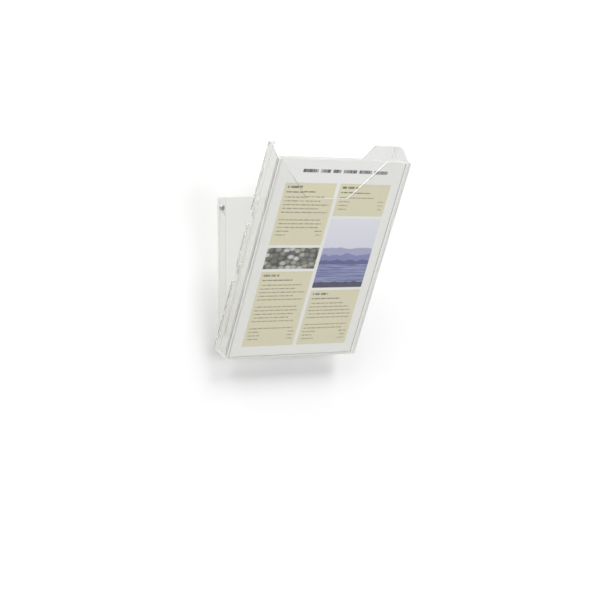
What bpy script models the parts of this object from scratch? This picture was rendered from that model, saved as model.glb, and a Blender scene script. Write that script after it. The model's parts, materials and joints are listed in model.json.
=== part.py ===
"""Wall-hung brochure rack of clear sheet: a leaning pocket on a wedge bracket, with its leaflets.

World frame: X to the viewer's right, the wall is the plane Y = 0, the rack stands out towards -Y, Z is up.
The origin is on the wall, halfway between the two wall screws. Sizes are in metres.
The pocket's own frame leans with it: x as in the world, z up along its back, -y through it to its front.
"""

import math

import bmesh
import bpy
from mathutils import Matrix, Vector

# Sheet and fits
SHEET = 0.003
BOND_GAP = 0.0003
REST_GAP = 0.0003
EDGE_EASE = 0.0003
EASE_ANGLE = math.radians(40)
WELD_WITHIN = 0.000001
FLAT_WITHIN = 0.001

# Pocket
LEAN = math.radians(25.6)
WALL_STANDOFF = 0.004
POCKET_FOOT_Z = -0.196
POCKET_WIDTH = 0.224
POCKET_DEPTH = 0.0325
BACK_HEIGHT = 0.3125
FRONT_HEIGHT = 0.3008
REAR_FLANGE = 0.010
REAR_BEND = 0.0012
SIDE_SLOPE_START = 0.012
SIDE_SLOPE_END = 0.027
SIDE_SLOPE_FOOT = 0.3025
FRONT_FOOT_RADIUS = 0.005

# Finger cut-outs, set off to one side as on the real pocket
FRONT_CUT_TOP_X = (-0.1055, 0.0702)
FRONT_CUT_FOOT_X = (-0.0490, 0.0200)
FRONT_CUT_FOOT_Z = 0.2450
BACK_CUT_TOP_X = 0.0655
BACK_CUT_FOOT_X = (-0.0490, 0.0170)
BACK_CUT_FOOT_Z = 0.2500
BACK_CUT_LEFT_Z = 0.3020
CUT_RADIUS = 0.004
EAR_RADIUS = 0.0012

# Corner notches that the hooks go into
NOTCH_LENGTH = 0.0204
NOTCH_DEPTH = 0.012
NOTCH_RADIUS = 0.0012
UPPER_NOTCH_Z = 0.1926
LOWER_NOTCH_Z = 0.1060
HOOK_NECK = 0.0083
HOOK_NOSE_RISE = 0.0085
HOOK_WIDTH = 0.0050
HOOK_INNER_X = 0.1033
HOOK_NOSE_GAP = 0.0004
HOOK_RADIUS = 0.0008

# Wedge bracket
BRACKET_WIDTH = 0.205
BRACKET_TOP_Z = 0.014
BRACKET_FOOT_Z = -0.180
CHEEK_CORNER = 0.004
CARRIER_FOOT_Z = 0.020
CARRIER_TOP_Z = 0.2322
CARRIER_RADIUS = 0.003
TAB_BELOW_NECK = 0.006
TAB_RADIUS = 0.0008
FLANGE_WIDTH = 0.0142

# Keyholes, screws and plugs
SCREW_X = 0.0950
KEYHOLE_DROP = 0.0095
KEYHOLE_RADIUS = 0.0046
SLOT_RADIUS = 0.0024
SHANK_RADIUS = 0.0019
SCREW_LENGTH = 0.034
SCREW_POINT = 0.004
HEAD_RADIUS = 0.0038
HEAD_HEIGHT = 0.0026
HEAD_CROWN = 0.0012
HEAD_DOME = ((0.50, 0.20), (0.85, 0.60), (1.00, 1.00))
RECESS_LENGTH = 0.0044
RECESS_WIDTH = 0.0011
RECESS_DEPTH = 0.0014
RECESS_TURN = math.radians(22)
PLUG_RADIUS = 0.003
PLUG_BORE = 0.0023
PLUG_COLLAR_RADIUS = 0.0036
PLUG_COLLAR = 0.001
PLUG_LENGTH = 0.030

# Leaflets
LEAFLET_COUNT = 6
LEAFLET_WIDTH = 0.210
LEAFLET_HEIGHT = 0.297
LEAFLET_THICKNESS = 0.0012
LEAFLET_GAP = 0.00035
LEAFLET_SPINE = 0.00054

# Finishes: colour with opacity, roughness, metallic
CLEAR = ((0.90, 0.92, 0.90, 0.35), 0.08, 0.0)
PAPER = ((0.80, 0.80, 0.78, 1.0), 0.55, 0.0)
STEEL = ((0.30, 0.30, 0.31, 1.0), 0.35, 1.0)
NYLON = ((0.52, 0.52, 0.52, 1.0), 0.50, 0.0)

ARC_STEPS = 4
ROUND_STEPS = 24
HALF_POCKET = POCKET_WIDTH / 2
HALF_BRACKET = BRACKET_WIDTH / 2

for item in list(bpy.data.objects):
    bpy.data.objects.remove(item, do_unlink=True)

rack = bpy.data.collections.new("brochure_rack")
cutters = bpy.data.collections.new("cutters")
bpy.context.scene.collection.children.link(rack)
bpy.context.scene.collection.children.link(cutters)


def rounded(corners):
    """Turn (x, y, radius) corners into points, each corner with a radius replaced by an arc."""
    points = []
    count = len(corners)
    for index, (x, y, radius) in enumerate(corners):
        here = Vector((x, y))
        if radius == 0.0:
            points.append(here)
            continue
        before = (Vector(corners[index - 1][:2]) - here).normalized()
        after = (Vector(corners[(index + 1) % count][:2]) - here).normalized()
        half = before.angle(after) / 2
        centre = here + (before + after).normalized() * (radius / math.sin(half))
        reach = radius / math.tan(half)
        first = here + before * reach - centre
        last = here + after * reach - centre
        turn = first.angle_signed(last)
        for step in range(ARC_STEPS + 1):
            swung = first.copy()
            swung.rotate(Matrix.Rotation(-turn * step / ARC_STEPS, 2))
            points.append(centre + swung)
    return points


def circle_arc(x, y, radius, start, end, steps):
    """Points on an arc about (x, y), angles in radians."""
    angles = [start + (end - start) * step / steps for step in range(steps + 1)]
    return [Vector((x + radius * math.cos(a), y + radius * math.sin(a))) for a in angles]


def flat_mesh(name, loops, thickness):
    """A flat outline with any holes, made solid about its own plane."""
    curve = bpy.data.curves.new(name, "CURVE")
    curve.dimensions = "2D"
    curve.fill_mode = "BOTH"
    curve.extrude = thickness / 2
    for loop in loops:
        spline = curve.splines.new("POLY")
        spline.points.add(len(loop) - 1)
        spline.use_cyclic_u = True
        for point, spot in zip(spline.points, loop):
            point.co = (spot[0], spot[1], 0.0, 1.0)
    holder = bpy.data.objects.new(name, curve)
    cutters.objects.link(holder)
    graph = bpy.context.evaluated_depsgraph_get()
    mesh = bpy.data.meshes.new_from_object(holder.evaluated_get(graph))
    bpy.data.objects.remove(holder, do_unlink=True)
    bpy.data.curves.remove(curve)
    mesh.name = name
    shell = bmesh.new()
    shell.from_mesh(mesh)
    bmesh.ops.remove_doubles(shell, verts=shell.verts, dist=WELD_WITHIN)
    bmesh.ops.dissolve_limit(shell, angle_limit=FLAT_WITHIN, verts=shell.verts, edges=shell.edges)
    bmesh.ops.recalc_face_normals(shell, faces=shell.faces)
    shell.to_mesh(mesh)
    shell.free()
    return mesh


FACINGS = {
    "front": Matrix(((1, 0, 0, 0), (0, 0, -1, 0), (0, 1, 0, 0), (0, 0, 0, 1))),
    "side": Matrix(((0, 0, 1, 0), (1, 0, 0, 0), (0, 1, 0, 0), (0, 0, 0, 1))),
    "plan": Matrix.Identity(4),
}
THICKNESS_AXES = {"front": 1, "side": 0, "plan": 2}


def solid(name, loops, facing, low, high, parent, group=rack):
    """A flat outline facing front (x, z), side (y, z) or plan (x, y), solid from low to high across it."""
    mesh = flat_mesh(name, loops, high - low)
    shift = Vector((0.0, 0.0, 0.0))
    shift[THICKNESS_AXES[facing]] = (low + high) / 2
    mesh.transform(Matrix.Translation(shift) @ FACINGS[facing])
    piece = bpy.data.objects.new(name, mesh)
    group.objects.link(piece)
    piece.parent = parent
    return piece


def cut(piece, cutter):
    """Take a cutting body out of a piece and keep it out of the finished rack."""
    cutter.hide_render = True
    cutter.display_type = "WIRE"
    tool = piece.modifiers.new(cutter.name, "BOOLEAN")
    tool.operation = "DIFFERENCE"
    tool.solver = "EXACT"
    tool.object = cutter


def ease(piece):
    """Break the sharp edges of a cut sheet."""
    tool = piece.modifiers.new("eased_edges", "BEVEL")
    tool.width = EDGE_EASE
    tool.segments = 1
    tool.limit_method = "ANGLE"
    tool.angle_limit = EASE_ANGLE


def finish(piece, look):
    """Give a piece its own material."""
    colour, roughness, metallic = look
    material = bpy.data.materials.new(piece.name)
    material.use_nodes = True
    shader = material.node_tree.nodes["Principled BSDF"]
    shader.inputs["Base Color"].default_value = (*colour[:3], 1.0)
    shader.inputs["Alpha"].default_value = colour[3]
    shader.inputs["Roughness"].default_value = roughness
    shader.inputs["Metallic"].default_value = metallic
    piece.data.materials.clear()
    piece.data.materials.append(material)


def rectangle(left, right, foot, top):
    """Corners of a rectangle."""
    return [(left, foot), (right, foot), (right, top), (left, top)]


def leaning_frame(name):
    """An empty at the pocket's lower rear edge, leaning with the pocket."""
    frame = bpy.data.objects.new(name, None)
    rack.objects.link(frame)
    frame.location = (0.0, -WALL_STANDOFF, POCKET_FOOT_Z)
    frame.rotation_euler = (LEAN, 0.0, 0.0)
    return frame


pocket_frame = leaning_frame("pocket_frame")
bracket_lean = leaning_frame("bracket_lean")
wall_frame = bpy.data.objects.new("wall_frame", None)
rack.objects.link(wall_frame)
leaflet_frames = []
for number in range(LEAFLET_COUNT):
    leaflet_frame = bpy.data.objects.new(f"leaflet_{number + 1}_frame", None)
    rack.objects.link(leaflet_frame)
    leaflet_frame.parent = pocket_frame
    leaflet_frames.append(leaflet_frame)


def build_back_panel():
    """The flat back between the two rear flanges, cut away at its top."""
    half = HALF_POCKET - REAR_FLANGE - BOND_GAP
    corners = [
        (-half, 0.0, 0.0),
        (half, 0.0, 0.0),
        (half, BACK_HEIGHT, 0.0),
        (BACK_CUT_TOP_X, BACK_HEIGHT, EAR_RADIUS),
        (BACK_CUT_FOOT_X[1], BACK_CUT_FOOT_Z, CUT_RADIUS),
        (BACK_CUT_FOOT_X[0], BACK_CUT_FOOT_Z, CUT_RADIUS),
        (-half, BACK_CUT_LEFT_Z, 0.0),
    ]
    panel = solid("back_panel", [rounded(corners)], "front", -SHEET, 0.0, pocket_frame)
    ease(panel)
    finish(panel, CLEAR)


def build_front_panel():
    """The flat front between the side walls, with its low finger cut-out and two ears."""
    half = HALF_POCKET - SHEET - BOND_GAP
    corners = [
        (-half, 0.0, FRONT_FOOT_RADIUS),
        (half, 0.0, FRONT_FOOT_RADIUS),
        (half, FRONT_HEIGHT, 0.0),
        (FRONT_CUT_TOP_X[1], FRONT_HEIGHT, EAR_RADIUS),
        (FRONT_CUT_FOOT_X[1], FRONT_CUT_FOOT_Z, CUT_RADIUS),
        (FRONT_CUT_FOOT_X[0], FRONT_CUT_FOOT_Z, CUT_RADIUS),
        (FRONT_CUT_TOP_X[0], FRONT_HEIGHT, EAR_RADIUS),
        (-half, FRONT_HEIGHT, 0.0),
    ]
    span = (-POCKET_DEPTH, SHEET - POCKET_DEPTH)
    panel = solid("front_panel", [rounded(corners)], "front", *span, pocket_frame)
    ease(panel)
    finish(panel, CLEAR)


def build_floor_panel():
    """The floor that the leaflets stand on, between all four walls."""
    half = HALF_POCKET - SHEET - BOND_GAP
    front = SHEET + BOND_GAP - POCKET_DEPTH
    back = -SHEET - BOND_GAP
    outline = rectangle(-half, half, front, back)
    floor = solid("floor_panel", [outline], "plan", 0.0, SHEET, pocket_frame)
    ease(floor)
    finish(floor, CLEAR)


def build_side_wall(name, side):
    """A side wall bent inwards at the rear, with a sloped top and two corner notches."""
    outer = side * HALF_POCKET
    inner = side * (HALF_POCKET - SHEET)
    lip = side * (HALF_POCKET - REAR_FLANGE)
    plan = [
        (outer, 0.0, REAR_BEND),
        (lip, 0.0, 0.0),
        (lip, -SHEET, 0.0),
        (inner, -SHEET, REAR_BEND),
        (inner, -POCKET_DEPTH, 0.0),
        (outer, -POCKET_DEPTH, 0.0),
    ]
    wall = solid(name, [rounded(plan)], "plan", 0.0, BACK_HEIGHT, pocket_frame)
    over = BACK_HEIGHT + SHEET
    ahead = -POCKET_DEPTH - SHEET
    slope = [
        (-SIDE_SLOPE_START, BACK_HEIGHT),
        (-SIDE_SLOPE_END, SIDE_SLOPE_FOOT),
        (-POCKET_DEPTH, FRONT_HEIGHT),
        (ahead, FRONT_HEIGHT),
        (ahead, over),
        (-SIDE_SLOPE_START, over),
    ]
    reach = sorted((side * (HALF_POCKET + SHEET), lip - side * SHEET))
    cut(wall, solid(f"{name}_slope", [slope], "side", *reach, pocket_frame, cutters))
    for label, foot in (("upper", UPPER_NOTCH_Z), ("lower", LOWER_NOTCH_Z)):
        notch = [
            (-NOTCH_DEPTH, foot, NOTCH_RADIUS),
            (SHEET, foot, 0.0),
            (SHEET, foot + NOTCH_LENGTH, 0.0),
            (-NOTCH_DEPTH, foot + NOTCH_LENGTH, NOTCH_RADIUS),
        ]
        cut(wall, solid(f"{name}_{label}_notch", [rounded(notch)], "side", *reach, pocket_frame, cutters))
    ease(wall)
    finish(wall, CLEAR)


def to_leaning(y, z):
    """A world (y, z) point in the leaning frame."""
    across = y + WALL_STANDOFF
    up = z - POCKET_FOOT_Z
    return (across * math.cos(LEAN) + up * math.sin(LEAN), up * math.cos(LEAN) - across * math.sin(LEAN))


def leaning_height(z, y_local):
    """How far up the leaning frame a world height lies, at one distance across it."""
    return (z - POCKET_FOOT_Z - y_local * math.sin(LEAN)) / math.cos(LEAN)


def neck_top(notch_foot):
    """Top of a hook's neck, just under the upper end of its notch."""
    return notch_foot + NOTCH_LENGTH - REST_GAP


def tab_span(notch_foot):
    """Foot and top of the carrier's tab behind a hook."""
    top = neck_top(notch_foot)
    return top - HOOK_NECK - TAB_BELOW_NECK, top


def build_cheek(name, side):
    """A wedge-shaped cheek on a wall flange, slotted on its long edge for the carrier's tabs."""
    seat = -SHEET - BOND_GAP
    face = BOND_GAP
    slot = BOND_GAP + SHEET + BOND_GAP
    corners = [
        (*to_leaning(seat, BRACKET_FOOT_Z), 0.0),
        (face, leaning_height(BRACKET_FOOT_Z, face), 0.0),
    ]
    for foot in (LOWER_NOTCH_Z, UPPER_NOTCH_Z):
        low, high = tab_span(foot)
        corners.append((face, low - BOND_GAP, 0.0))
        corners.append((slot, low - BOND_GAP, 0.0))
        corners.append((slot, high + BOND_GAP, 0.0))
        corners.append((face, high + BOND_GAP, 0.0))
    corners.append((face, leaning_height(BRACKET_TOP_Z, face), CHEEK_CORNER))
    corners.append((*to_leaning(seat, BRACKET_TOP_Z), 0.0))
    span = sorted((side * HALF_BRACKET, side * (HALF_BRACKET - SHEET)))
    cheek = solid(name, [rounded(corners)], "side", *span, bracket_lean)
    ease(cheek)
    finish(cheek, CLEAR)


def build_carrier():
    """The leaning plate between the cheeks, with a tab out past them behind each hook."""
    half = HALF_BRACKET - SHEET - BOND_GAP
    tip = HOOK_INNER_X + HOOK_WIDTH
    right = [(half, CARRIER_FOOT_Z, CARRIER_RADIUS)]
    for foot in (LOWER_NOTCH_Z, UPPER_NOTCH_Z):
        low, high = tab_span(foot)
        right.append((half, low, 0.0))
        right.append((tip, low, TAB_RADIUS))
        right.append((tip, high, TAB_RADIUS))
        right.append((half, high, 0.0))
    right.append((half, CARRIER_TOP_Z, CARRIER_RADIUS))
    left = [(-x, z, radius) for x, z, radius in reversed(right)]
    span = (BOND_GAP, BOND_GAP + SHEET)
    carrier = solid("carrier_plate", [rounded(right + left)], "front", *span, bracket_lean)
    ease(carrier)
    finish(carrier, CLEAR)


def build_hook(name, side, notch_foot):
    """A hook through a corner notch, its nose standing up inside the pocket behind the rear flange."""
    top = neck_top(notch_foot)
    low = top - HOOK_NECK
    nose_back = -SHEET - HOOK_NOSE_GAP
    nose_front = nose_back - SHEET
    corners = [
        (0.0, low, 0.0),
        (0.0, top, 0.0),
        (nose_back, top, 0.0),
        (nose_back, top + HOOK_NOSE_RISE, HOOK_RADIUS),
        (nose_front, top + HOOK_NOSE_RISE, HOOK_RADIUS),
        (nose_front, low, HOOK_RADIUS),
    ]
    span = sorted((side * HOOK_INNER_X, side * (HOOK_INNER_X + HOOK_WIDTH)))
    hook = solid(name, [rounded(corners)], "side", *span, bracket_lean)
    ease(hook)
    finish(hook, CLEAR)


def build_wall_flange(name, side):
    """A flange flat on the wall, with a keyhole that drops over its screw."""
    outer = side * HALF_BRACKET
    inner = side * (HALF_BRACKET - FLANGE_WIDTH)
    outline = rectangle(min(outer, inner), max(outer, inner), BRACKET_FOOT_Z, BRACKET_TOP_Z)
    centre = side * SCREW_X
    mouth = math.asin(SLOT_RADIUS / KEYHOLE_RADIUS)
    start = math.pi / 2 + mouth
    end = math.pi / 2 + math.tau - mouth
    keyhole = circle_arc(centre, -KEYHOLE_DROP, KEYHOLE_RADIUS, start, end, ROUND_STEPS)
    keyhole += circle_arc(centre, 0.0, SLOT_RADIUS, 0.0, math.pi, ROUND_STEPS // 2)
    flange = solid(name, [outline, keyhole], "front", -SHEET, 0.0, wall_frame)
    ease(flange)
    finish(flange, CLEAR)


def turned(name, profile, closed, spot):
    """A body turned about an axis that runs from the room into the wall, from (radius, depth) points."""
    mesh = bpy.data.meshes.new(name)
    count = len(profile)
    edges = [(i, (i + 1) % count) for i in range(count if closed else count - 1)]
    mesh.from_pydata([(radius, depth, 0.0) for radius, depth in profile], edges, [])
    piece = bpy.data.objects.new(name, mesh)
    rack.objects.link(piece)
    piece.parent = wall_frame
    piece.location = spot
    turn = piece.modifiers.new("turn", "SCREW")
    turn.axis = "Y"
    turn.steps = ROUND_STEPS
    turn.render_steps = ROUND_STEPS
    turn.use_normal_calculate = True
    turn.use_normal_flip = True
    seam = piece.modifiers.new("seam", "WELD")
    seam.merge_threshold = WELD_WITHIN
    return piece


def build_wall_screw(name, side):
    """A domed cross-head screw through the keyhole into the wall."""
    seat = -SHEET - BOND_GAP
    crown = seat - HEAD_HEIGHT
    profile = [(0.0, crown)]
    profile += [(HEAD_RADIUS * out, crown + HEAD_CROWN * back) for out, back in HEAD_DOME]
    profile += [
        (HEAD_RADIUS, seat),
        (SHANK_RADIUS, seat),
        (SHANK_RADIUS, seat + SCREW_LENGTH - SCREW_POINT),
        (0.0, seat + SCREW_LENGTH),
    ]
    screw = turned(name, profile, False, (side * SCREW_X, 0.0, 0.0))
    half = RECESS_WIDTH / 2
    long = RECESS_LENGTH / 2
    cross = [
        (-half, -long), (half, -long), (half, -half), (long, -half), (long, half), (half, half),
        (half, long), (-half, long), (-half, half), (-long, half), (-long, -half), (-half, -half),
    ]
    span = (crown - RECESS_DEPTH, crown + RECESS_DEPTH)
    recess = solid(f"{name}_recess", [cross], "front", *span, screw, cutters)
    recess.rotation_euler = (0.0, RECESS_TURN, 0.0)
    cut(screw, recess)
    finish(screw, STEEL)


def build_wall_plug(name, side):
    """A plug in the wall that the screw bites into."""
    start = BOND_GAP
    profile = [
        (PLUG_BORE, start),
        (PLUG_BORE, start + PLUG_LENGTH),
        (PLUG_RADIUS, start + PLUG_LENGTH),
        (PLUG_RADIUS, start + PLUG_COLLAR),
        (PLUG_COLLAR_RADIUS, start + PLUG_COLLAR),
        (PLUG_COLLAR_RADIUS, start),
    ]
    finish(turned(name, profile, True, (side * SCREW_X, 0.0, 0.0)), NYLON)


def build_leaflet(number):
    """One folded leaflet standing on the floor, its spine on the left; the first leans on the front panel."""
    front = SHEET - POCKET_DEPTH + LEAFLET_GAP + (number - 1) * (LEAFLET_THICKNESS + LEAFLET_GAP)
    back = front + LEAFLET_THICKNESS
    half = LEAFLET_WIDTH / 2
    plan = [
        (-half, front, LEAFLET_SPINE),
        (half, front, 0.0),
        (half, back, 0.0),
        (-half, back, LEAFLET_SPINE),
    ]
    foot = SHEET + REST_GAP
    frame = leaflet_frames[number - 1]
    leaflet = solid(f"leaflet_{number}", [rounded(plan)], "plan", foot, foot + LEAFLET_HEIGHT, frame)
    finish(leaflet, PAPER)


build_back_panel()
build_front_panel()
build_floor_panel()
build_carrier()
for word, direction in (("left", -1), ("right", 1)):
    build_side_wall(f"{word}_side_wall", direction)
    build_cheek(f"{word}_cheek", direction)
    build_wall_flange(f"{word}_wall_flange", direction)
    build_hook(f"upper_{word}_hook", direction, UPPER_NOTCH_Z)
    build_hook(f"lower_{word}_hook", direction, LOWER_NOTCH_Z)
    build_wall_screw(f"{word}_wall_screw", direction)
    build_wall_plug(f"{word}_wall_plug", direction)
for leaflet_number in range(1, LEAFLET_COUNT + 1):
    build_leaflet(leaflet_number)
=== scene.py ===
"""Looks of a clear wall-hung brochure rack with its leaflets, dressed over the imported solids.

World frame: X to the viewer's right, the wall is the plane Y = 0, the rack stands out towards -Y, Z is up.
The pocket leans, so its pieces also have their own frame: x as in the world, y from the pocket's front to
its rear and z up along its back. Sizes are in metres unless a class says otherwise, colours are linear.
"""

import json
import logging
import math
import random
from dataclasses import dataclass
from enum import Enum
from typing import Any, Callable, Mapping, Self, Sequence, Union

import bmesh
import bpy
from mathutils import Matrix, Vector


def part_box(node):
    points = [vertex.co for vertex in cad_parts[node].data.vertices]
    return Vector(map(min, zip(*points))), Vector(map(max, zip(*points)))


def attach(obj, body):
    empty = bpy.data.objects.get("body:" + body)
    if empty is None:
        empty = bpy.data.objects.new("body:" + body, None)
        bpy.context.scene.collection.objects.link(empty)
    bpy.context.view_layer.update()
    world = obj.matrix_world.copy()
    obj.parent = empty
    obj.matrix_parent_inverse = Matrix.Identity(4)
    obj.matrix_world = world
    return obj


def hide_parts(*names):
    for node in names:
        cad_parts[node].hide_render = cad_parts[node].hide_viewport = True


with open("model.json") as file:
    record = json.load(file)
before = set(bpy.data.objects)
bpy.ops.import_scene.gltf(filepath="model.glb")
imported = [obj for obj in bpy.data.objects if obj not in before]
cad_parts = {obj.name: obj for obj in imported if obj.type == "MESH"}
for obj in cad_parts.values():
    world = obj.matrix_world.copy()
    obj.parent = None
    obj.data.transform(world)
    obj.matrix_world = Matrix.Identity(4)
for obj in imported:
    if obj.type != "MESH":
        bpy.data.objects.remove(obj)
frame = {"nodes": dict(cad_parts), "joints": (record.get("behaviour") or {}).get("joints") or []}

Colour = tuple[float, float, float]
Stops = tuple[tuple[float, Colour], ...]
Span = tuple[float, float]
Number = Union[float, "Signal"]

FRAME_PIXELS = 610
MILLIMETRE = 0.001
WELD_WITHIN = 0.000001
SQUARE_ON = 0.9
ACROSS = Vector((1.0, 0.0, 0.0))
INTO_WALL = Vector((0.0, 1.0, 0.0))
UPRIGHT = (math.pi / 2, 0.0, 0.0)

log = logging.getLogger("brochure_rack")


def tone(red: int, green: int, blue: int) -> Colour:
    """Turn a colour as a screen shows it, with parts from 0 to 255, into linear light."""
    shares = (red / 255.0, green / 255.0, blue / 255.0)
    return tuple(s / 12.92 if s <= 0.04045 else ((s + 0.055) / 1.055) ** 2.4 for s in shares)


def darker(colour: Colour, share: float) -> Colour:
    """Dim a colour to a share of its light."""
    return tuple(part * share for part in colour)


class Side(Enum):
    """The two ends of the bracket."""

    LEFT = "left"
    RIGHT = "right"


class Slot(Enum):
    """The record's material slots."""

    CLEAR = "clear_sheet"
    PAPER = "printed_paper"
    STEEL = "zinc_steel"
    NYLON = "grey_nylon"


class Facing(Enum):
    """Which way the broad faces of a sheet look, in the leaning frame or on the wall."""

    LEANING_FRONT = "leaning_front"
    SIDE = "side"
    FLANGED_SIDE = "flanged_side"
    LEANING_FLOOR = "leaning_floor"
    WALL = "wall"


class Pick(Enum):
    """What an edit-mode selection is made of."""

    EDGES = "EDGE"
    FACES = "FACE"


class Leaf(Enum):
    """The faces of a leaflet, in the order of its materials."""

    WHITE = 0
    FRONT = 1
    REAR = 2
    CUT = 3


@dataclass(frozen=True)
class LeaningFrame:
    """The pocket's own directions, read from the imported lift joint."""

    up: Vector
    foot: Vector

    @classmethod
    def from_pack(cls, joints: Sequence[Mapping[str, Any]]) -> Self:
        """Read the lean from the joint that lifts the pocket, and the foot from the pocket's back.

        Args:
            joints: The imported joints.

        Returns:
            The leaning frame.
        """
        lift = next(j for j in joints if j["name"] == "pocket_lift")
        up = Vector(lift["axis"]).normalized()
        rear = -ACROSS.cross(up)
        corners = [v.co for v in frame["nodes"]["back_panel"].data.vertices]
        foot = up * min(c.dot(up) for c in corners) + rear * max(c.dot(rear) for c in corners)
        return cls(up, foot)

    @property
    def rear(self) -> Vector:
        """Direction from the pocket's front to its back."""
        return -ACROSS.cross(self.up)

    @property
    def lean(self) -> float:
        """Angle between the pocket's back and the wall."""
        return math.atan2(-self.up.y, self.up.z)

    def matrix(self) -> Matrix:
        """Turn points of the leaning frame into world points."""
        return Matrix.Translation(self.foot) @ Matrix.Rotation(self.lean, 4, "X")

    def box(self, node: str) -> tuple[Vector, Vector]:
        """Measure a node in the leaning frame.

        Args:
            node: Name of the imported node.

        Returns:
            Its lowest and highest corner there.
        """
        back = self.matrix().inverted()
        spots = [back @ v.co for v in frame["nodes"][node].data.vertices]
        low = Vector(min(s[i] for s in spots) for i in range(3))
        high = Vector(max(s[i] for s in spots) for i in range(3))
        return low, high


@dataclass(frozen=True)
class Signal:
    """One output of a material's nodes, with sums that add Math nodes."""

    recipe: "Recipe"
    socket: bpy.types.NodeSocket

    def math(self, operation: str, *others: Number) -> "Signal":
        """Put a Math node on this value and others, with Blender's name of the sum."""
        operands = dict(enumerate((self, *others)))
        return self.recipe.node("ShaderNodeMath", {"operation": operation}, operands)

    def reflected(self, operation: str, first: float) -> "Signal":
        """Put a Math node on a plain number, which stands first, and this value."""
        return self.recipe.node("ShaderNodeMath", {"operation": operation}, {0: first, 1: self})

    def __add__(self, other: Number) -> "Signal":
        """Sum."""
        return self.math("ADD", other)

    def __radd__(self, other: float) -> "Signal":
        """Sum with a number in front."""
        return self.reflected("ADD", other)

    def __sub__(self, other: Number) -> "Signal":
        """Difference."""
        return self.math("SUBTRACT", other)

    def __rsub__(self, other: float) -> "Signal":
        """Difference with a number in front."""
        return self.reflected("SUBTRACT", other)

    def __mul__(self, other: Number) -> "Signal":
        """Product."""
        return self.math("MULTIPLY", other)

    def __rmul__(self, other: float) -> "Signal":
        """Product with a number in front."""
        return self.reflected("MULTIPLY", other)

    def __truediv__(self, other: Number) -> "Signal":
        """Quotient."""
        return self.math("DIVIDE", other)

    def __gt__(self, other: Number) -> "Signal":
        """1 where this value is the larger one."""
        return self.math("GREATER_THAN", other)

    def __lt__(self, other: Number) -> "Signal":
        """1 where this value is the smaller one."""
        return self.math("LESS_THAN", other)

    def between(self, low: Number, high: Number) -> "Signal":
        """1 where this value lies between two others."""
        return (self > low) * (self < high)

    def fraction(self) -> "Signal":
        """Part after the decimal point."""
        return self.math("FRACT")

    def floor(self) -> "Signal":
        """Next whole number below."""
        return self.math("FLOOR")

    def size(self) -> "Signal":
        """Value without its sign."""
        return self.math("ABSOLUTE")

    def ramp(self, low: float, high: float) -> "Signal":
        """Rise smoothly from 0 at one value to 1 at another."""
        inputs = {"Value": self, "From Min": low, "From Max": high}
        return self.recipe.node("ShaderNodeMapRange", {"interpolation_type": "SMOOTHSTEP"}, inputs)


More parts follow.
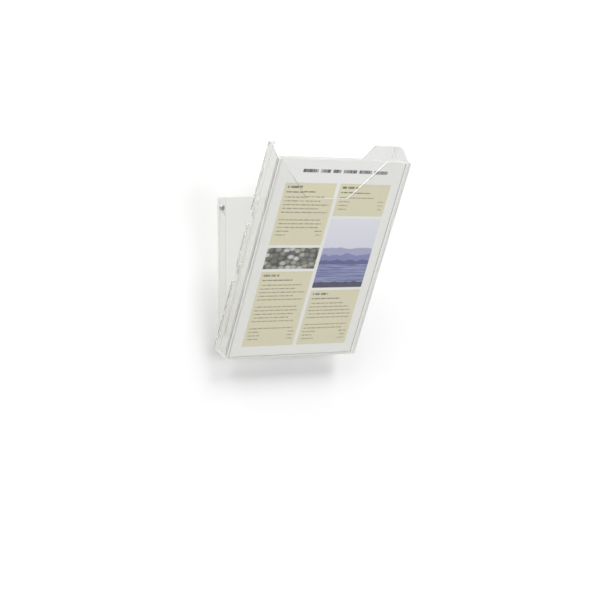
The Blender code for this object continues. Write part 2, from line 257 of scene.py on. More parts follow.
class Recipe:
    """The nodes of a material or a world in the making."""

    def __init__(self, holder: bpy.types.Material | bpy.types.World) -> None:
        """Start with no nodes.

        Args:
            holder: The material or world, whose nodes are removed.
        """
        holder.use_nodes = True
        self.holder = holder
        self.tree = holder.node_tree
        self.tree.nodes.clear()

    @classmethod
    def of_material(cls, name: str) -> Self:
        """Start a new material."""
        return cls(bpy.data.materials.new(name))

    def node(
        self,
        kind: str,
        settings: Mapping[str, Any] | None = None,
        inputs: Mapping[int | str, Any] | None = None,
        output: int | str = 0,
    ) -> Signal | None:
        """Add a node, set it up, then fill or link its sockets.

        Args:
            kind: Blender's type of node.
            settings: Properties of the node, with a ramp's stops under "stops".
            inputs: Values or signals, by socket.
            output: The socket to hand back.

        Returns:
            That output, or None for a node that has none.
        """
        made = self.tree.nodes.new(kind)
        for key, value in (settings or {}).items():
            if key == "stops":
                self._set_stops(made.color_ramp, value)
            else:
                setattr(made, key, value)
        for key, value in (inputs or {}).items():
            socket = made.inputs[key]
            if isinstance(value, Signal):
                self.tree.links.new(value.socket, socket)
            elif socket.type == "RGBA" and len(value) == 3:
                socket.default_value = (*value, 1.0)
            else:
                socket.default_value = value
        return Signal(self, made.outputs[output]) if made.outputs else None

    @staticmethod
    def _set_stops(ramp: bpy.types.ColorRamp, stops: Stops) -> None:
        """Give a colour ramp its stops.

        Args:
            ramp: The ramp, with Blender's two stops.
            stops: Place and colour of each stop, in order.
        """
        while len(ramp.elements) < len(stops):
            ramp.elements.new(1.0)
        for element, (place, colour) in zip(ramp.elements, stops):
            element.position = place
            element.color = (*colour, 1.0)

    def mix(self, share: Number, first: Any, second: Any) -> Signal:
        """Mix two colours, by the share of the second one."""
        inputs = {0: share, 6: first, 7: second}
        return self.node("ShaderNodeMix", {"data_type": "RGBA", "blend_type": "MIX"}, inputs, 2)

    def blend(self, share: Signal, first: Signal, second: Signal) -> Signal:
        """Mix two shaders, by the share of the second one."""
        return self.node("ShaderNodeMixShader", inputs={0: share, 1: first, 2: second})

    def place(self) -> Signal:
        """Point on the piece, in the frame that the piece was made in."""
        return self.node("ShaderNodeTexCoord", output="Object")

    def leaning(self, lean: LeaningFrame) -> Signal:
        """Point on the piece, in the leaning frame."""
        inputs = {"Vector": self.place(), "Location": lean.foot, "Rotation": (lean.lean, 0.0, 0.0)}
        return self.node("ShaderNodeMapping", {"vector_type": "TEXTURE"}, inputs)

    def point(self, *parts: Number) -> Signal:
        """Put numbers together into a vector or a colour."""
        return self.node("ShaderNodeCombineXYZ", inputs=dict(enumerate(parts)))

    def split(self, vector: Signal) -> tuple[Signal, Signal, Signal]:
        """Take a vector or a colour apart into its three numbers."""
        apart = self.node("ShaderNodeSeparateXYZ", inputs={0: vector}).socket.node
        return tuple(Signal(self, socket) for socket in apart.outputs)

    def along(self, direction: Vector) -> Signal:
        """How squarely the surface looks along a direction or against it, from 0 to 1.

        Args:
            direction: The direction, of length 1.

        Returns:
            The size of the dot product with the surface normal.
        """
        normal = self.node("ShaderNodeNewGeometry", output="True Normal")
        settings = {"operation": "DOT_PRODUCT"}
        return self.node("ShaderNodeVectorMath", settings, {0: normal, 1: direction}, "Value").size()

    def noise(self, vector: Signal, scale: float, detail: float = 2.0, roughness: float = 0.5) -> Signal:
        """Soft noise from 0 to 1, with a scale in patches to a unit of the vector."""
        inputs = {"Vector": vector, "Scale": scale, "Detail": detail, "Roughness": roughness}
        return self.node("ShaderNodeTexNoise", inputs=inputs)

    def stretch(self, vector: Signal, scale: tuple[float, float, float]) -> Signal:
        """Scale the place at which a pattern is read, by axis."""
        return self.node("ShaderNodeMapping", inputs={"Vector": vector, "Scale": scale})

    def bump(self, height: Signal, strength: float, distance: float) -> Signal:
        """Turn a height from 0 to 1 into a normal, with the depth of a height of 1."""
        inputs = {"Strength": strength, "Distance": distance, "Height": height}
        return self.node("ShaderNodeBump", inputs=inputs)

    def principled(self, **sockets: Any) -> Signal:
        """Add a Principled shader, with underscores for the spaces in its sockets' names."""
        named = {key.replace("_", " "): value for key, value in sockets.items()}
        return self.node("ShaderNodeBsdfPrincipled", inputs=named)

    def finish(self, surface: Signal) -> bpy.types.Material:
        """Show a shader and hand back the finished material."""
        self.node("ShaderNodeOutputMaterial", inputs={"Surface": surface})
        return self.holder


@dataclass(frozen=True)
class ClearSheetFinish:
    """Clear polished plastic: a faint warm tint, frosted sawn edges with painted shade and light by which
    way they face, a slight wave and hairline scuffs.
    """

    lean: LeaningFrame
    index: float = 1.49
    tint: Colour = (0.990, 0.990, 0.978)
    gloss_roughness: float = 0.015
    shade_tint: Colour = (0.978, 0.978, 0.974)
    top_bottom_edge_frost_and_shade: Colour = (0.56, 0.565, 0.555)
    front_rear_edge_frost_and_light: Colour = (0.89, 0.895, 0.87)
    side_edge_frost_and_light: Colour = (0.90, 0.905, 0.885)
    inner_edge_tint: Colour = (0.90, 0.90, 0.885)
    edge_roughness: float = 0.34
    edge_transmission: float = 0.20
    edge_ramp: Span = (0.35, 0.75)
    bond_lines: tuple[Span, ...] = ((0.1005, 0.1035), (0.1077, 0.1097))
    strip_reach: float = 0.006
    strip_clearness: float = 0.40
    cloud_scale: float = 9.0
    cloud_detail: float = 3.0
    cloud_dimming: float = 0.99
    cloud_roughness: float = 0.02
    soil: Colour = (0.0, 0.0, 0.0)
    soil_share: float = 0.06
    scuff_scale: tuple[float, float, float] = (900.0, 60.0, 60.0)
    scuff_ramp: Span = (0.66, 0.74)
    scuff_roughness: float = 0.05
    edge_scuff_roughness: float = 0.10
    wave_scale: float = 14.0
    wave_detail: float = 1.0
    wave_depth: float = 0.00003

    def broad(self, recipe: Recipe, spot: Signal, facing: Facing) -> Signal:
        """How much a point lies on a broad face and not on a sawn edge.

        Args:
            recipe: The material in the making.
            spot: The point, in the leaning frame.
            facing: Which way the sheet's broad faces look.

        Returns:
            1 on a broad face, 0 on an edge.
        """
        direction = {
            Facing.LEANING_FRONT: self.lean.rear,
            Facing.SIDE: ACROSS,
            Facing.FLANGED_SIDE: ACROSS,
            Facing.LEANING_FLOOR: self.lean.up,
            Facing.WALL: INTO_WALL,
        }[facing]
        square = recipe.along(direction)
        if facing is Facing.FLANGED_SIDE:
            square = square.math("MAXIMUM", self.bent_strip(recipe, spot))
        # The eased edges along a bond line count as sawn, because polished ones trap light and look black.
        across = recipe.split(spot)[0].size()
        for bond_line in self.bond_lines:
            square = square * (1.0 - across.between(*bond_line) * (square < SQUARE_ON))
        return square.ramp(*self.edge_ramp)

    def bent_strip(self, recipe: Recipe, spot: Signal) -> Signal:
        """How squarely a point lies on the strip bent inwards at the rear of a side wall, from 0 to 1."""
        _, depth, _ = recipe.split(spot)
        return recipe.along(self.lean.rear) * (depth > -self.strip_reach)

    def material(self, name: str, facing: Facing) -> bpy.types.Material:
        """Make the finish for one sheet.

        Args:
            name: Name of the material.
            facing: Which way its broad faces look.

        Returns:
            The material.
        """
        recipe = Recipe.of_material(name)
        spot = recipe.leaning(self.lean)
        edge = 1.0 - self.broad(recipe, spot, facing)
        cloud = recipe.noise(spot, self.cloud_scale, self.cloud_detail)
        scuff = recipe.noise(recipe.stretch(spot, self.scuff_scale), 1.0).ramp(*self.scuff_ramp)
        wave = recipe.noise(spot, self.wave_scale, self.wave_detail)
        polished = recipe.principled(
            Base_Color=recipe.mix(cloud, self.tint, darker(self.tint, self.cloud_dimming)),
            Roughness=self.gloss_roughness + self.cloud_roughness * cloud + self.scuff_roughness * scuff,
            IOR=self.index,
            Transmission_Weight=1.0,
            Normal=recipe.bump(wave, 1.0, self.wave_depth),
        )
        # Painted shade and light: the frosted sawn edges are painted dark where they face up or down,
        # against the light from above, and pale where they face front, back or sideways.
        facing_frost_and_shade = recipe.mix(recipe.along(self.lean.rear), self.top_bottom_edge_frost_and_shade, self.front_rear_edge_frost_and_light)
        facing_frost_and_shade = recipe.mix(recipe.along(ACROSS), facing_frost_and_shade, self.side_edge_frost_and_light)
        sawn = recipe.principled(
            Base_Color=recipe.mix(cloud * self.soil_share, facing_frost_and_shade, self.soil),
            Roughness=self.edge_roughness + self.edge_scuff_roughness * scuff,
            IOR=self.index,
            Transmission_Weight=self.edge_transmission,
        )
        # Light inside a sheet leaves freely by a sawn edge, and in part by the bent strip.
        inside = recipe.node("ShaderNodeNewGeometry", output="Backfacing")
        outward = recipe.node("ShaderNodeBsdfTransparent", inputs={"Color": self.inner_edge_tint})
        sawn = recipe.blend(inside, sawn, outward)
        if facing is Facing.FLANGED_SIDE:
            bent = recipe.blend(inside, polished, outward)
            strip = self.bent_strip(recipe, spot).ramp(*self.edge_ramp) * self.strip_clearness
            polished = recipe.blend(strip, polished, bent)
        sheet = recipe.blend(edge, polished, sawn)
        # Soft light and shadow rays go straight through the sheets, which dim them a little.
        clear = recipe.node("ShaderNodeBsdfTransparent", inputs={"Color": self.shade_tint})
        for light_ray in ("Is Diffuse Ray", "Is Shadow Ray"):
            sheet = recipe.blend(recipe.node("ShaderNodeLightPath", output=light_ray), sheet, clear)
        return recipe.finish(sheet)


@dataclass(frozen=True)
class SteelFinish:
    """Dull zinc-plated steel with turning marks and darker blotches."""

    axis: Vector
    pale: Colour = (0.46, 0.46, 0.47)
    dark: Colour = (0.20, 0.20, 0.205)
    roughness: float = 0.28
    mark_frequency: float = 9000.0
    mark_roughness: float = 0.14
    mark_strength: float = 0.25
    mark_depth: float = 0.00003
    blotch_scale: float = 700.0
    blotch_detail: float = 4.0
    blotch_ramp: Span = (0.35, 0.7)
    blotch_roughness: float = 0.12

    def material(self, name: str) -> bpy.types.Material:
        """Make the finish.

        Args:
            name: Name of the material.

        Returns:
            The material.
        """
        recipe = Recipe.of_material(name)
        settings = {"operation": "SUBTRACT"}
        spot = recipe.node("ShaderNodeVectorMath", settings, {0: recipe.place(), 1: self.axis})
        x, _, z = recipe.split(spot)
        radius = (x * x + z * z).math("SQRT")
        marks = (radius * self.mark_frequency).math("SINE") * 0.5 + 0.5
        blotch = recipe.noise(spot, self.blotch_scale, self.blotch_detail)
        shader = recipe.principled(
            Base_Color=recipe.mix(blotch.ramp(*self.blotch_ramp), self.dark, self.pale),
            Metallic=1.0,
            Roughness=self.roughness + self.mark_roughness * marks + self.blotch_roughness * blotch,
            Normal=recipe.bump(marks, self.mark_strength, self.mark_depth),
        )
        return recipe.finish(shader)


@dataclass(frozen=True)
class NylonFinish:
    """Grey moulded nylon with a fine grain."""

    pale: Colour = (0.50, 0.50, 0.49)
    dark: Colour = (0.40, 0.40, 0.40)
    patch_scale: float = 180.0
    roughness: float = 0.42
    grain_scale: float = 2500.0
    grain_detail: float = 3.0
    grain_roughness: float = 0.16
    grain_strength: float = 0.3
    grain_depth: float = 0.00005

    def material(self, name: str) -> bpy.types.Material:
        """Make the finish.

        Args:
            name: Name of the material.

        Returns:
            The material.
        """
        recipe = Recipe.of_material(name)
        spot = recipe.place()
        grain = recipe.noise(spot, self.grain_scale, self.grain_detail)
        shader = recipe.principled(
            Base_Color=recipe.mix(recipe.noise(spot, self.patch_scale), self.dark, self.pale),
            Roughness=self.roughness + self.grain_roughness * grain,
            Normal=recipe.bump(grain, self.grain_strength, self.grain_depth),
        )
        return recipe.finish(shader)


@dataclass(frozen=True)
class PagePlace:
    """A point on a printed page, in millimetres from the page's upper left corner."""

    recipe: Recipe
    across: Signal
    down: Signal


@dataclass(frozen=True)
class PrintPanel:
    """A rectangle on a printed page, in millimetres from the page's upper left corner."""

    left: float
    top: float
    width: float
    height: float

    @property
    def right(self) -> float:
        """Right side."""
        return self.left + self.width

    @property
    def foot(self) -> float:
        """Lower side."""
        return self.top + self.height

    def mask(self, spot: PagePlace) -> Signal:
        """1 inside the rectangle, 0 outside."""
        return spot.across.between(self.left, self.right) * spot.down.between(self.top, self.foot)


@dataclass(frozen=True)
class HeadBar:
    """A bar at the head of a panel, in millimetres apart from its share of the panel's width."""

    drop: float
    height: float
    width_share: float
    word: float


@dataclass(frozen=True)
class GreekedText:
    """Bars in place of lettering, in paragraphs over a short list. Lengths are in millimetres."""

    ink: Colour = tone(140, 132, 106)
    bold_ink: Colour = tone(96, 90, 76)
    title_ink: Colour = tone(96, 90, 98)
    margin: float = 5.0
    title: HeadBar = HeadBar(4.4, 3.2, 0.30, 13.0)
    bold: HeadBar = HeadBar(12.4, 1.8, 0.58, 9.0)
    body_drop: float = 18.0
    pitch: float = 5.6
    word: float = 8.5
    paragraph_rows: int = 6
    list_rows: int = 3
    ragged_share: float = 0.26
    left_entry: float = 14.0
    left_spread: float = 9.0
    right_entry: float = 7.0
    right_spread: float = 6.0
    bar_top: Span = (0.30, 0.38)
    bar_foot: Span = (0.58, 0.66)
    word_gap: Span = (0.05, 0.11)
    line_shift: float = 17.31
    stroke_grain: Span = (0.9, 3.7)
    stroke_ramp: Span = (0.34, 0.60)
    faintest: float = 0.45

    def words(self, spot: PagePlace, line: Number, length: float) -> Signal:
        """Break a line into marks of uneven length that stand for words.

        Args:
            spot: Place on the page.
            line: A number that differs from line to line.
            length: Mean length of a word.

        Returns:
            1 on a word, less between the strokes of its marks, 0 in the gaps.
        """
        recipe = spot.recipe
        seat = spot.across / length + line * self.line_shift
        settings = {"voronoi_dimensions": "1D", "feature": "DISTANCE_TO_EDGE"}
        gap = recipe.node("ShaderNodeTexVoronoi", settings, {"W": seat, "Scale": 1.0}, "Distance")
        along, by_line = self.stroke_grain
        spread = recipe.point(spot.across * along, line * by_line)
        strokes = recipe.noise(spread, 1.0).ramp(*self.stroke_ramp)
        return gap.ramp(*self.word_gap) * (self.faintest + (1.0 - self.faintest) * strokes)

    def head_bar(self, spot: PagePlace, panel: PrintPanel, bar: HeadBar, line: float) -> Signal:
        """Marks of one bar at the head of a panel.

        Args:
            spot: Place on the page.
            panel: The panel that it heads.
            bar: The bar.
            line: A number that differs from line to line.

        Returns:
            The mask of the ink.
        """
        left = panel.left + self.margin
        place = PrintPanel(left, panel.top + bar.drop, panel.width * bar.width_share, bar.height)
        return place.mask(spot) * self.words(spot, line, bar.word)

    def body(self, spot: PagePlace, panel: PrintPanel) -> Signal:
        """Lines of a panel in paragraphs on an even pitch, with a list in two columns at the foot.

        Args:
            spot: Place on the page.
            panel: The panel that they stand in.

        Returns:
            The mask of the ink.
        """
        across = spot.across
        start = panel.top + self.body_drop
        place = (spot.down - start) / self.pitch
        row = place.floor()
        rows = math.floor((panel.foot - self.margin - start) / self.pitch)
        left = panel.left + self.margin
        right = panel.right - self.margin
        chance = spot.recipe.node(
            "ShaderNodeTexWhiteNoise", {"noise_dimensions": "1D"}, {"W": row + panel.left}
        )
        end = right - (right - left) * self.ragged_share * chance
        # Rows are whole numbers, so the limits between them lie half a row off.
        listed = row > rows - self.list_rows - 0.5
        column = across.between(left, left + self.left_entry + self.left_spread * chance)
        column = column + across.between(right - self.right_entry - self.right_spread * chance, right)
        written = across.between(left, end) * (1.0 - listed) + column * listed
        paragraph = ((row + 1.0) / self.paragraph_rows).fraction() > 0.5 / self.paragraph_rows
        inside = row.between(-0.5, rows - 0.5)
        height = place.fraction()
        bar = height.ramp(*self.bar_top) * (1.0 - height.ramp(*self.bar_foot))
        return written * inside * paragraph * bar * self.words(spot, row + panel.top, self.word)

    def print_on(self, spot: PagePlace, panel: PrintPanel, colour: Signal) -> Signal:
        """Print a panel's title, its bold first line and its body.

        Args:
            spot: Place on the page.
            panel: The panel.
            colour: Colour of the page so far.

        Returns:
            The printed colour.
        """
        title = self.head_bar(spot, panel, self.title, panel.foot)
        bold = self.head_bar(spot, panel, self.bold, panel.foot + 1.0)
        colour = spot.recipe.mix(self.body(spot, panel), colour, self.ink)
        colour = spot.recipe.mix(title, colour, self.title_ink)
        return spot.recipe.mix(bold, colour, self.bold_ink)


@dataclass(frozen=True)
class Ridge:
    """An uneven line across a view: its level and swing as shares of the height, and the shade below it."""

    level: float
    swing: float
    grain: float
    seed: float
    shade: Colour
    detail: float = 4.0

    def crest(self, spot: PagePlace) -> Signal:
        """Height of the line, as a share of the view's height from its top.

        Args:
            spot: Place on the page.

        Returns:
            The share.
        """
        recipe = spot.recipe
        uneven = recipe.noise(recipe.point(spot.across * self.grain, self.seed), 1.0, self.detail)
        return self.level + self.swing * (uneven - 0.5) * 2.0


@dataclass(frozen=True)
class LakeView:
    """A plain view of pale sky, hills and rippled water."""

    panel: PrintPanel
    sky: Stops = ((0.0, tone(230, 230, 242)), (0.5, tone(220, 220, 236)), (1.0, tone(204, 204, 226)))
    hills: tuple[Ridge, ...] = (
        Ridge(0.42, 0.10, 0.035, 42.0, tone(164, 166, 200)),
        Ridge(0.52, 0.09, 0.055, 52.0, tone(122, 128, 178)),
        Ridge(0.60, 0.06, 0.090, 60.0, tone(78, 82, 132)),
    )
    bank: Ridge = Ridge(0.92, 0.05, 0.06, 41.0, tone(44, 44, 76))
    water_level: float = 0.66
    water: tuple[Colour, Colour] = (tone(88, 96, 148), tone(146, 152, 196))
    ripple_grain: Span = (0.02, 0.55)
    ripple_detail: float = 3.0
    ripple_roughness: float = 0.7
    ripple_ramp: Span = (0.38, 0.62)

    def colour(self, spot: PagePlace) -> Signal:
        """Draw the view.

        Args:
            spot: Place on the page.

        Returns:
            Its colour.
        """
        recipe = spot.recipe
        depth = (spot.down - self.panel.top) / self.panel.height
        colour = recipe.node("ShaderNodeValToRGB", {"stops": self.sky}, {"Fac": depth})
        for hill in self.hills:
            colour = recipe.mix(depth > hill.crest(spot), colour, hill.shade)
        along, deep = self.ripple_grain
        seat = recipe.point(spot.across * along, spot.down * deep)
        ripple = recipe.noise(seat, 1.0, self.ripple_detail, self.ripple_roughness).ramp(*self.ripple_ramp)
        colour = recipe.mix(depth > self.water_level, colour, recipe.mix(ripple, *self.water))
        return recipe.mix(depth > self.bank.crest(spot), colour, self.bank.shade)


@dataclass(frozen=True)
class PebbleView:
    """A plain view of grey pebbles."""

    panel: PrintPanel
    grain: Span = (0.10, 0.16)
    randomness: float = 0.8
    stones: Stops = (
        (0.0, tone(70, 72, 70)),
        (0.35, tone(128, 130, 118)),
        (0.6, tone(164, 162, 140)),
        (1.0, tone(226, 226, 228)),
    )
    speck: Colour = tone(90, 90, 84)
    speck_share: float = 0.35
    speck_scale: float = 9.0
    speck_detail: float = 3.0
    gap: Colour = tone(40, 42, 40)
    gap_ramp: Span = (0.25, 0.75)

    def colour(self, spot: PagePlace) -> Signal:
        """Draw the view.

        Args:
            spot: Place on the page.

        Returns:
            Its colour.
        """
        recipe = spot.recipe
        along, deep = self.grain
        seat = recipe.point(spot.across * along, spot.down * deep)
        flat = {"voronoi_dimensions": "2D"}
        cell = {"Vector": seat, "Scale": 1.0, "Randomness": self.randomness}
        distance = recipe.node("ShaderNodeTexVoronoi", flat, cell, "Distance")
        chance, _, _ = recipe.split(recipe.node("ShaderNodeTexVoronoi", flat, cell, "Color"))
        stone = recipe.node("ShaderNodeValToRGB", {"stops": self.stones}, {"Fac": chance})
        specks = self.speck_share * recipe.noise(seat, self.speck_scale, self.speck_detail)
        stone = recipe.mix(specks, stone, self.speck)
        return recipe.mix(distance.ramp(*self.gap_ramp), stone, self.gap)


@dataclass(frozen=True)
class PageFinish:
    """Coated white paper with a generic printed page: cream panels, greeked lines and two plain views."""

    lean: LeaningFrame
    left: float
    right: float
    top: float
    white: Colour = tone(240, 240, 238)
    mottle_scale: float = 240.0
    mottle_detail: float = 4.0
    mottle_share: float = 0.5
    mottle_dimming: float = 0.95
    cut_edge_shade: Colour = tone(172, 171, 168)
    fray_scale: float = 1500.0
    fray_dimming: float = 0.86
    index: float = 1.45
    roughness: float = 0.46
    fibre_scale: float = 1800.0
    fibre_detail: float = 3.0
    fibre_roughness: float = 0.12
    fibre_strength: float = 0.15
    fibre_depth: float = 0.00003
    cream: Colour = tone(222, 217, 188)
    cream_panels: tuple[PrintPanel, ...] = (
        PrintPanel(16.0, 34.0, 86.0, 92.0),
        PrintPanel(16.0, 166.0, 86.0, 116.0),
        PrintPanel(108.0, 34.0, 86.0, 48.0),
        PrintPanel(108.0, 196.0, 86.0, 86.0),
    )
    text: GreekedText = GreekedText()
    lake: LakeView = LakeView(PrintPanel(108.0, 86.0, 86.0, 106.0))
    pebbles: PebbleView = PebbleView(PrintPanel(16.0, 130.0, 86.0, 32.0))
    title_bar: PrintPanel = PrintPanel(40.0, 14.0, 142.0, 4.8)
    title_line: float = 2.0
    title_word: float = 26.0
    edge_shadow_grey: Colour = tone(142, 144, 142)
    edge_shadow_width: float = 1.1
    rear_panel: PrintPanel = PrintPanel(30.0, 190.0, 150.0, 80.0)

    def blank(self, recipe: Recipe) -> Signal:
        """Colour of the unprinted sheet, faintly uneven."""
        mottle = recipe.noise(recipe.place(), self.mottle_scale, self.mottle_detail)
        return recipe.mix(mottle * self.mottle_share, self.white, darker(self.white, self.mottle_dimming))

    def page_place(self, recipe: Recipe, side: float) -> PagePlace:
        """Place on a page, given where its left side lies along X as its reader sees it."""
        x, _, z = recipe.split(recipe.leaning(self.lean))
        return PagePlace(recipe, (x - side).size() / MILLIMETRE, (self.top - z) / MILLIMETRE)

    def front(self, name: str) -> bpy.types.Material:
        """Make the printed front.

        Args:
            name: Name of the material.

        Returns:
            The material.
        """
        recipe = Recipe.of_material(name)
        spot = self.page_place(recipe, self.left)
        colour = self.blank(recipe)
        for panel in self.cream_panels:
            colour = recipe.mix(panel.mask(spot), colour, self.cream)
        for panel in self.cream_panels:
            colour = self.text.print_on(spot, panel, colour)
        for view in (self.lake, self.pebbles):
            colour = recipe.mix(view.panel.mask(spot), colour, view.colour(spot))
        title = self.title_bar.mask(spot) * self.text.words(spot, self.title_line, self.title_word)
        colour = recipe.mix(title, colour, self.text.title_ink)
        # Painted shadow: a thin grey strip along the page's right edge, for the shade in the gap beside the
        # pocket's side wall.
        edge_shadow = spot.across > (self.right - self.left) / MILLIMETRE - self.edge_shadow_width
        return self.coated(recipe, recipe.mix(edge_shadow, colour, self.edge_shadow_grey))

    def rear(self, name: str) -> bpy.types.Material:
        """Make the back page: white with one cream panel and its lines.

        Args:
            name: Name of the material.

        Returns:
            The material.
        """
        recipe = Recipe.of_material(name)
        spot = self.page_place(recipe, self.right)
        colour = recipe.mix(self.rear_panel.mask(spot), self.blank(recipe), self.cream)
        return self.coated(recipe, self.text.print_on(spot, self.rear_panel, colour))

    def plain(self, name: str) -> bpy.types.Material:
        """Make the unprinted sheet."""
        recipe = Recipe.of_material(name)
        return self.coated(recipe, self.blank(recipe))

    def cut(self, name: str) -> bpy.types.Material:
        """Make the cut edges, painted darker than the sheet: painted shade for the gaps between the sheets,
        and against the light from above on the top edges.

        Args:
            name: Name of the material.

        Returns:
            The material.
        """
        recipe = Recipe.of_material(name)
        # Painted shade: the cut edges' grey is darker than the sheet, with a random fray on top.
        fray = recipe.noise(recipe.place(), self.fray_scale)
        colour = recipe.mix(fray, self.cut_edge_shade, darker(self.cut_edge_shade, self.fray_dimming))
        return self.coated(recipe, colour)

    def coated(self, recipe: Recipe, colour: Signal) -> bpy.types.Material:
        """Put a colour on coated paper.

        Args:
            recipe: The material in the making.
            colour: The printed colour.

        Returns:
            The finished material.
        """
        fibre = recipe.noise(recipe.place(), self.fibre_scale, self.fibre_detail)
        shader = recipe.principled(
            Base_Color=colour,
            Roughness=self.roughness + self.fibre_roughness * fibre,
            IOR=self.index,
            Normal=recipe.bump(fibre, self.fibre_strength, self.fibre_depth),
        )
        return recipe.finish(shader)


def through_sheets(recipe: Recipe) -> Signal:
    """Tell rays that reach the camera through clear sheets or by gloss.

    Args:
        recipe: The material or world in the making.

    Returns:
        1 for such rays.
    """
    path = recipe.node("ShaderNodeLightPath").socket.node
    glossy = Signal(recipe, path.outputs["Is Glossy Ray"])
    return glossy.math("MAXIMUM", Signal(recipe, path.outputs["Is Transmission Ray"]))


@dataclass(frozen=True)
class WallFinish:
    """White wall paint, seen only from the room's side, with softer shadows behind the clear sheets,
    painted darker near the rack and whiter farther out.
    """

    paint: Colour = (0.745, 0.745, 0.745)
    far_brightened_paint: Colour = (0.92, 0.92, 0.92)
    near: float = 0.30
    far: float = 0.65
    pale: Colour = (0.74, 0.74, 0.73)
    lift: float = 0.8
    grain_scale: float = 320.0
    grain_detail: float = 3.0
    grain_strength: float = 0.05
    grain_depth: float = 0.0002

    def material(self, name: str) -> bpy.types.Material:
        """Make the finish.

        Args:
            name: Name of the material.

        Returns:
            The material.
        """
        recipe = Recipe.of_material(name)
        spot = recipe.place()
        grain = recipe.noise(spot, self.grain_scale, self.grain_detail)
        normal = recipe.bump(grain, self.grain_strength, self.grain_depth)
        distance = recipe.node("ShaderNodeVectorMath", {"operation": "LENGTH"}, {0: spot}, "Value")
        # Painted shade and light: the wall is darker within reach of the rack, which deepens its shadows,
        # and whiter farther out, where the lamps fall off.
        colour = recipe.mix(distance.ramp(self.near, self.far), self.paint, self.far_brightened_paint)
        paint = recipe.node("ShaderNodeBsdfDiffuse", inputs={"Color": colour, "Normal": normal})
        glow = recipe.node("ShaderNodeEmission", inputs={"Color": self.pale, "Strength": 1.0})
        face = recipe.blend(through_sheets(recipe) * self.lift, paint, glow)
        behind = recipe.node("ShaderNodeNewGeometry", output="Backfacing")
        return recipe.finish(recipe.blend(behind, face, recipe.node("ShaderNodeBsdfTransparent")))


@dataclass(frozen=True)
class RoomFinish:
    """Even light from the room: white to the camera, pale through the clear sheets, dim on the rack."""

    white: float = 1.0
    pale: float = 0.78
    ambient: float = 0.14

    def world(self, name: str) -> bpy.types.World:
        """Make the surroundings.

        Args:
            name: Name of the world.

        Returns:
            The world.
        """
        recipe = Recipe(bpy.data.worlds.new(name))
        direct = recipe.node("ShaderNodeLightPath", output="Is Camera Ray")
        level = self.ambient + direct * (self.white - self.ambient)
        level = level + through_sheets(recipe) * (self.pale - self.ambient)
        colour = recipe.point(level, level, level)
        light = recipe.node("ShaderNodeBackground", inputs={"Color": colour, "Strength": 1.0})
        recipe.node("ShaderNodeOutputWorld", inputs={"Surface": light})
        return recipe.holder


@dataclass(frozen=True)
class Ring:
    """One ring of a turned piece."""

    radius: float
    depth: float


